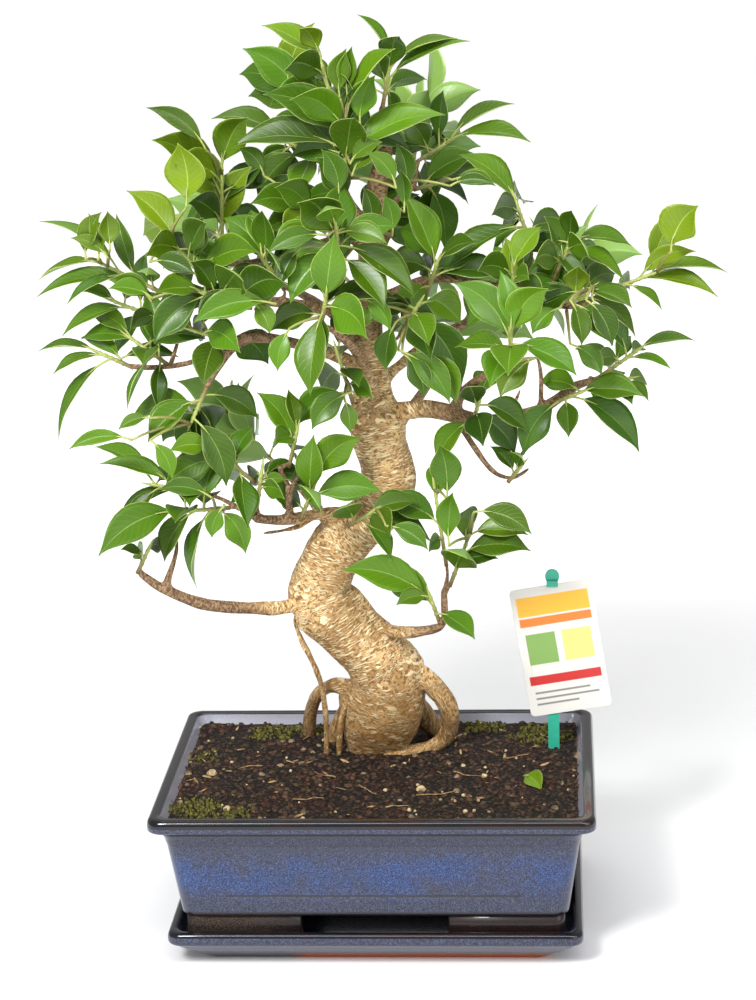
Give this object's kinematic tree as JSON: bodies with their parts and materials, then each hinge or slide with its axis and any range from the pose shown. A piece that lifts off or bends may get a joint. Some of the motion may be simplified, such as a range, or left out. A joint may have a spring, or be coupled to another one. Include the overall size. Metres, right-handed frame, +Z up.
{
  "type": "chinese banyan bonsai",
  "caption": "Potted fig bonsai with an S-shaped trunk, aerial roots and tiers of glossy leaves, in a glazed rectangular pot on a matching saucer, with a plant label in the soil.",
  "frame": {"origin": "middle of the saucer's flat underside, on the surface that it stands on", "axes": "+Z up along the trunk's rise, +X to the right as the tree's front is seen, -Y out of the tree's front"},
  "size_m": [0.4718, 0.3437, 0.628],
  "materials": {
    "blue_glaze": "glossy speckled glaze",
    "drain_mesh": "matte",
    "soil": "rough, damp",
    "bark": "rough with pale lenticels",
    "leaf": "waxy, satin to glossy",
    "label_stake": "satin",
    "label_card": "printed, satin"
  },
  "bodies": {
    "root": {"saucer": "blue_glaze", "pot": "blue_glaze", "drain_screen_left": "drain_mesh", "drain_screen_right": "drain_mesh", "soil": "soil", "trunk_and_branches": "bark", "label_stake": "label_stake", "label_card": "label_card", "fallen_leaf": "leaf", "top_left": "leaf", "top_left_back": "leaf", "top_right": "leaf", "top_front": "leaf", "crown_left": "leaf", "left_sprig": "leaf", "left_yellow": "leaf", "far_left_top": "leaf", "far_left_low": "leaf", "left_shelf": "leaf", "left_arm_end": "leaf", "left_arm_mid": "leaf", "left_arm_near": "leaf", "low_left_top": "leaf", "low_left_high": "leaf", "low_left_tip": "leaf", "low_left_hang": "leaf", "low_left_end": "leaf", "mid_left_up": "leaf", "mid_left_front": "leaf", "mid_left_hook": "leaf", "center_low": "leaf", "center_hub": "leaf", "center_long": "leaf", "left_inner": "leaf", "upper_inner": "leaf", "upper_core": "leaf", "right_hub": "leaf", "right_arches": "leaf", "right_wing": "leaf", "right_twig": "leaf", "right_upper": "leaf", "right_yellow": "leaf", "right_drop": "leaf", "right_sprig": "leaf", "right_front": "leaf", "right_end": "leaf", "right_end_low": "leaf", "right_drop_low": "leaf", "right_under": "leaf", "right_hanger": "leaf", "center_right": "leaf", "low_right_up": "leaf", "low_right_side": "leaf", "low_right_base": "leaf", "trunk_front": "leaf", "back_low_spray": "leaf", "back_left_spray": "leaf", "back_high_spray": "leaf", "back_right_spray": "leaf", "back_low_left_spray": "leaf"}
  },
  "joints": []
}
